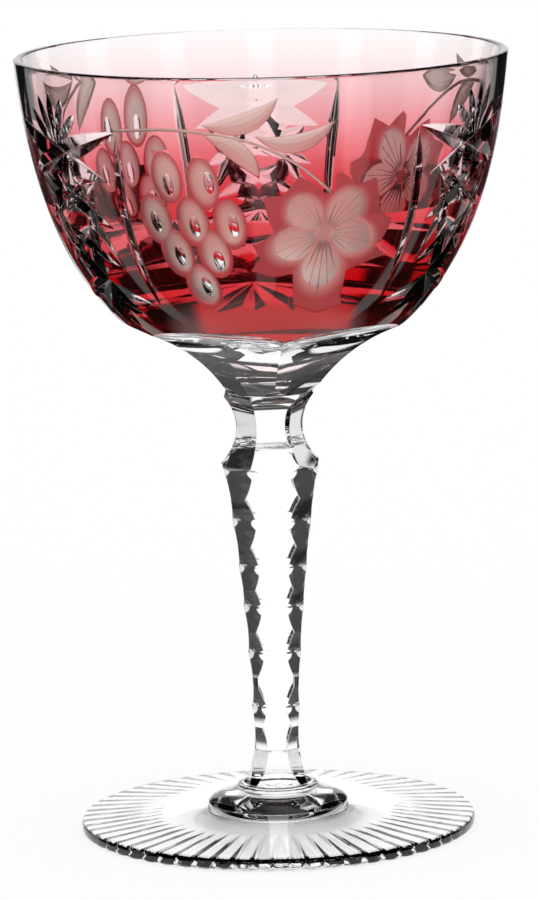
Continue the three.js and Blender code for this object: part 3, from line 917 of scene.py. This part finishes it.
# Bed of the leaf: a sheet of small squares, trimmed to the leaf's edge while flat and then laid on the bowl
def makeLeafBed():
    edge = vine["leafEdge"]
    low = [min(spot[axis] for spot in edge) - 1 for axis in range(2)]
    high = [max(spot[axis] for spot in edge) + 1 for axis in range(2)]
    nothingSelected()
    columns, rows = vine["bedGrid"]
    bpy.ops.mesh.primitive_grid_add(x_subdivisions=columns, y_subdivisions=rows, size=1)
    sheet = bpy.context.object
    nothingSelected()
    bpy.ops.mesh.primitive_circle_add(vertices=len(edge), fill_type="NGON")
    cutter = bpy.context.object
    for vertex, spot in zip(cutter.data.vertices, edge):
        vertex.co = (*spot, 0)
    for piece, thick in ((sheet, 1), (cutter, 3)):
        onlySelected(piece)
        bpy.ops.object.mode_set(mode="EDIT")
        bpy.ops.mesh.select_all(action="SELECT")
        bpy.ops.mesh.extrude_region_move(TRANSFORM_OT_translate={"value": (0, 0, thick)})
        bpy.ops.mesh.select_all(action="SELECT")
        bpy.ops.mesh.normals_make_consistent(inside=False)
        bpy.ops.object.mode_set(mode="OBJECT")
        piece.data.transform(Matrix.Translation((0, 0, -thick / 2)))
    sheet.data.transform(Matrix.Diagonal((high[0] - low[0], high[1] - low[1], 1, 1)))
    sheet.data.transform(Matrix.Translation(((low[0] + high[0]) / 2, (low[1] + high[1]) / 2, 0)))
    combine(sheet, [cutter], "INTERSECT")
    removeTools([cutter])
    onlySelected(sheet)
    bpy.ops.object.mode_set(mode="EDIT")
    bpy.ops.mesh.select_all(action="SELECT")
    bpy.ops.mesh.quads_convert_to_tris()
    bpy.ops.object.mode_set(mode="OBJECT")
    return sheet


def layLeafBed(flat, middle):
    bed = bpy.data.objects.new("tool", flat.data.copy())
    bpy.context.scene.collection.objects.link(bed)
    for vertex in bed.data.vertices:
        degrees, height, side = vertex.co
        depth = vine["bedShare"] * casingWall(bowlBase + height)
        vertex.co = onBowl(middle + degrees, height, vine["leafLift"] if side > 0 else -depth)
    giveMaterial(bed, frosted)
    return bed


# Place at a distance in mm from another place, on the bowl's side
def awayFrom(spot, degrees, reach):
    perDegree = math.radians(outsideAt(bowlBase + spot[1])[0])
    turn = math.radians(degrees)
    return [spot[0] + reach * math.cos(turn) / perDegree, spot[1] + reach * math.sin(turn)]


# Depth of a grape or a lobe, which reaches through the casing
def throughCasing(depth, height):
    return depth[0] + depth[1] * casingWall(bowlBase + height)


def leafTools(middle):
    tools = []
    first = vine["veinFrom"]
    heart = [middle + vine["leafAt"][0], vine["leafAt"][1]]
    # The heart of the leaf gets the same darkening towards its edge, partly painted shade
    markHollow(bowlFrame(*heart, 0), vine["heartHalf"], vine["heartHalf"])
    for direction, length, half in vine["lobes"]:
        at = awayFrom(heart, direction, length / 2)
        depth = throughCasing(vine["lobeDepth"], at[1])
        size = (half, length * vine["lobeHalf"])
        tools.append(dish(*at, *size, depth, direction - 90, frosted, vine["lobeSteps"]))
        for turn, reach in vine["veins"]:
            start = awayFrom(heart, direction + turn, first * length)
            end = awayFrom(heart, direction + turn, reach * length)
            out = math.sin(math.radians(turn)) * length / half

            def depthAt(share):
                along = first + (reach - first) * share
                hollow = depth * max(0, 1 - (2 * along - 1) ** 2 - (out * along) ** 2)
                return hollow + vine["veinDepth"] * (1 - share ** 4)

            tools.append(veinGroove(lambda share: between(start, end, share), depthAt))
    return tools


# Leaf blade: a curved hollow that passes through a middle place
def bladeTool(middle, start, through, end, half):
    pull = [2 * through[axis] - (start[axis] + end[axis]) / 2 for axis in range(2)]
    bluntDepth, bluntHalf = vine["bladeBlunt"]

    def path(share):
        spot = between(between(start, pull, share), between(pull, end, share), share)
        return [middle + spot[0], spot[1]]

    def swell(share):
        return swelling(share, vine["bladeTip"])

    return hollowGroove(
        path, lambda share: vine["bladeDepth"] * swell(share) ** bluntDepth,
        lambda share: half * swell(share) ** bluntHalf, vine["bladeLift"], frosted,
    )


def vineStemTool(middle):
    stops = vine["stem"]

    def path(share):
        at = min(int(share * (len(stops) - 1)), len(stops) - 2)
        spot = between(stops[at], stops[at + 1], share * (len(stops) - 1) - at)
        return [middle + spot[0], spot[1]]

    return hollowGroove(
        path, lambda share: vine["stemDepth"], lambda share: vine["stemHalf"], vine["stemLift"], frosted,
    )


# A grape is a satin oval whose colour darkens early towards its edge, partly as painted shade, with a small
# polished eye in its bottom
def grapeTools(middle, place, eyePlace):
    lean, fade = vine["grapeLean"], vine["grapeShadeSpread"]
    depth = throughCasing(vine["grapeDepth"], place[1])
    grape = dish(middle + place[0], place[1], *vine["grapeHalf"], depth, lean, frosted, vine["grapeSteps"])
    # Makes the grape's painted shade start nearer its middle
    hollows[-1] = Matrix.Diagonal((fade, fade, 1, 1)) @ hollows[-1]
    eyeAt = (middle + eyePlace[0], eyePlace[1])
    eye = dish(*eyeAt, *vine["eyeHalf"], vine["eyeDepth"], lean, polished, vine["eyeSteps"])
    inwards = (onBowl(*eyeAt, 0) - onBowl(*eyeAt, 1)).normalized()
    eye.data.transform(Matrix.Translation(inwards * (depth - vine["eyeRise"]) * mm))
    return [grape, eye]


def vineTools():
    tools = []
    flat = makeLeafBed()
    for middle in vine["angles"]:
        tools.append(layLeafBed(flat, middle))
        tools += leafTools(middle)
        for place, eyePlace in zip(vine["grapes"], vine["eyes"]):
            tools += grapeTools(middle, place, eyePlace)
        for blade in vine["blades"]:
            tools.append(bladeTool(middle, *blade))
        tools.append(vineStemTool(middle))
    removeTools([flat])
    return tools


def unite(tools):
    first, rest = tools[0], tools[1:]
    combine(first, rest, "UNION")
    removeTools(rest)
    return first


crystalBowl = makeCrystal()
rubyCasingGlass = makeCasing()
wheels = unite(baseWheels())
necks = unite(neckWheels())
stars = unite(starTools())
print("star cuts joined:", len(stars.data.polygons), "faces")
vines = unite(vineTools())
print("vine cuts joined:", len(vines.data.polygons), "faces")
combine(crystalBowl, [wheels, necks, stars, vines], "DIFFERENCE")
combine(rubyCasingGlass, [wheels, stars, vines], "DIFFERENCE")
for piece in (crystalBowl, rubyCasingGlass):
    smoothBy(piece, bowl["smooth"])
removeTools([wheels, necks, stars, vines, veinBlank, mitreBlank, hollowBlank])
print("bowl cut:", len(crystalBowl.data.polygons), "and", len(rubyCasingGlass.data.polygons), "faces")


# Ovals that lie farther than this in or out of the glass, in mm, are on the far side of the bowl
farSide = 3


# 0 in the middle of a satin oval and 1 at its edge, or what the piece has elsewhere
def coverAt(place, elsewhere):
    cover = elsewhere
    for hollow in hollows:
        spot = hollow @ place
        if abs(spot.z) < farSide:
            reach = spot.x ** 2 + spot.y ** 2
            cover = reach if reach < 1 and (cover == elsewhere or reach < cover) else cover
    return cover


def slotsOf(piece, *finishes):
    return [at for at, slot in enumerate(piece.material_slots) if slot.material in finishes]


def giveRubyAndShade(piece, elsewhere):
    satinSlots = slotsOf(piece, frosted, veinedPaintedShade)
    ground = [face for face in piece.data.polygons if face.material_index in satinSlots]
    cover = [elsewhere] * len(piece.data.vertices)
    for corner in {corner for face in ground for corner in face.vertices}:
        cover[corner] = coverAt(piece.data.vertices[corner].co, elsewhere)
    piece.data.attributes.new("cover", "FLOAT", "POINT").data.foreach_set("value", cover)


# The casing gets its one material, and its joints and ground cuts become attributes
def dressCasing(piece):
    slots = [face.material_index for face in piece.data.polygons]
    for attribute, wanted in (("joint", slotsOf(piece, fused)), ("ground", slotsOf(piece, frosted, veinedPaintedShade))):
        layer = piece.data.attributes.new(attribute, "FLOAT", "FACE")
        layer.data.foreach_set("value", [float(slot in wanted) for slot in slots])
    piece.data.polygons.foreach_set("material_index", [0] * len(slots))
    giveMaterial(piece, ruby)


# Colour attribute of the satin cuts: pale in an oval's middle, darker at its edge and on the casing, partly
# ruby and partly painted shade
giveRubyAndShade(crystalBowl, 0.0)
giveRubyAndShade(rubyCasingGlass, 1.0)
dressCasing(rubyCasingGlass)

for piece, slot, nodes in (
    (footGlass, "clear_crystal", ["foot"]),
    (beadGlass, "clear_crystal", ["bead"]),
    (stemGlass, "clear_crystal", ["stem"]),
    (crystalBowl, "clear_crystal", ["crystal_bowl"]),
    (rubyCasingGlass, "ruby_glass", [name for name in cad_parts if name.startswith("ruby")]),
):
    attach(piece, "root")
    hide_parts(*nodes)
print("pieces dressed")


# Camera, fitted to the rim and foot of the photograph

view = {
    "distance": 1.0495, "height": 0.255046, "side": -0.000072, "pitch": 0.17125, "roll": -0.02342,
    "focal": 5560.34, "longSide": 900, "sensor": 36,
}


def makeCamera():
    nothingSelected()
    bpy.ops.object.camera_add(location=(view["side"], -view["distance"], view["height"]))
    camera = bpy.context.object
    camera.name = "photoCamera"
    pitch, roll = view["pitch"], view["roll"]
    forward = Vector((0, math.cos(pitch), -math.sin(pitch)))
    up = Vector((0, math.sin(pitch), math.cos(pitch)))
    right = Vector((1, 0, 0))
    turnedRight = right * math.cos(roll) + up * math.sin(roll)
    turnedUp = up * math.cos(roll) - right * math.sin(roll)
    turned = Matrix((turnedRight, turnedUp, -forward)).transposed()
    camera.rotation_euler = turned.to_euler()
    camera.data.sensor_width = view["sensor"]
    camera.data.lens = view["focal"] * view["sensor"] / view["longSide"]
    camera.data.clip_start = 0.01
    camera.data.clip_end = 100
    bpy.context.scene.camera = camera


makeCamera()


# Studio: white background and pale floor for the camera. Glass sees white sheets between dark gaps, a wide
# one behind it, and the same sheets on the floor, which give cut glass its dark edges

studio = {
    "sheets": 8, "sheetHalf": 6.5, "soft": 1.5, "sheetLevel": 0.8, "top": 24, "topSoft": 2,
    "backHalf": 17.5, "backTurn": -2.5, "backSoft": 2, "bright": 1.1, "dark": 0.02, "ambient": 0.85,
    "floor": 12, "floorDrop": 0.00005, "floorColour": (0.74, 0.77, 0.8), "floorShade": 0.3,
    "nearFloor": 0.05, "nearSoft": 0.04,
}
perRadian = math.degrees(1)


# 1 on the white sheets and 0 in the gaps between them, by direction from the middle
def sheetsOf(finish, x, y):
    turn = x.maths("ARCTAN2", y) * perRadian
    apart = 360 / studio["sheets"]
    wholeTurns = 100  # keeps the number above 0
    away = ((turn / apart + wholeTurns + 0.5).maths("FRACT") - 0.5).maths("ABSOLUTE") * apart
    half, soft = studio["sheetHalf"], studio["soft"]
    sheets = 1 - away.step(half - soft, half + soft)
    half, soft = studio["backHalf"], studio["backSoft"]
    back = 1 - (turn - studio["backTurn"]).maths("ABSOLUTE").step(half - soft, half + soft)
    return (sheets * studio["sheetLevel"]).maths("MAXIMUM", back * studio["bright"])


# What looks: the camera itself, and the light that glass bends or throws back
def lookers(finish):
    paths = finish.node("ShaderNodeLightPath").socket.node.outputs
    glass = Value(finish, paths["Is Glossy Ray"]) + Value(finish, paths["Is Transmission Ray"])
    return Value(finish, paths["Is Camera Ray"]), glass.maths("MINIMUM", 1)


def makeFloor():
    nothingSelected()
    bpy.ops.mesh.primitive_plane_add(size=studio["floor"], location=(0, 0, -studio["floorDrop"]))
    floor = bpy.context.object
    floor.name = "floor"
    finish = Finish("paleFloor")
    camera, glass = lookers(finish)
    x, y, z = finish.parts(finish.place())
    near = 1 - ((x * x + y * y) ** 0.5).step(studio["nearFloor"], studio["nearFloor"] + studio["nearSoft"])
    level = sheetsOf(finish, x, y).maths("MAXIMUM", near) * (1 - studio["dark"]) + studio["dark"]
    shade = studio["floorShade"]
    white = [(1 - shade * studio["ambient"] * tone) / (1 - shade) for tone in studio["floorColour"]]
    forCamera = finish.node("ShaderNodeEmission", {}, {"Color": (*white, 1), "Strength": 1.0})
    forGlass = finish.node("ShaderNodeEmission", {}, {"Color": (1, 1, 1, 1), "Strength": level})
    matt = finish.node("ShaderNodeBsdfDiffuse", {}, {"Color": (*studio["floorColour"], 1)})
    mixed = finish.node("ShaderNodeMixShader", {}, {0: camera * (1 - shade), 1: matt, 2: forCamera})
    mixed = finish.node("ShaderNodeMixShader", {}, {0: glass * (1 - camera), 1: mixed, 2: forGlass})
    floor.data.materials.append(finish.output("ShaderNodeOutputMaterial", {"Surface": mixed}))


def makeWorld():
    world = bpy.data.worlds.new("studio")
    bpy.context.scene.world = world
    finish = Finish("studio", world)
    x, y, z = finish.parts(finish.node("ShaderNodeTexCoord", {}, [], "Generated"))
    elevation = z.maths("ARCSINE") * perRadian
    low = 1 - elevation.step(studio["top"] - studio["topSoft"], studio["top"] + studio["topSoft"])
    pattern = sheetsOf(finish, x, y) * low * (1 - studio["dark"]) + studio["dark"]
    camera, glass = lookers(finish)
    level = glass * (pattern - studio["ambient"]) + studio["ambient"]
    level = camera * (1 - level) + level
    back = finish.node("ShaderNodeBackground", {}, {"Color": (1, 1, 1, 1), "Strength": level})
    finish.output("ShaderNodeOutputWorld", {"Surface": back})


makeFloor()
makeWorld()
scene = bpy.context.scene
scene.view_settings.view_transform = "Standard"
print("camera and studio ready")
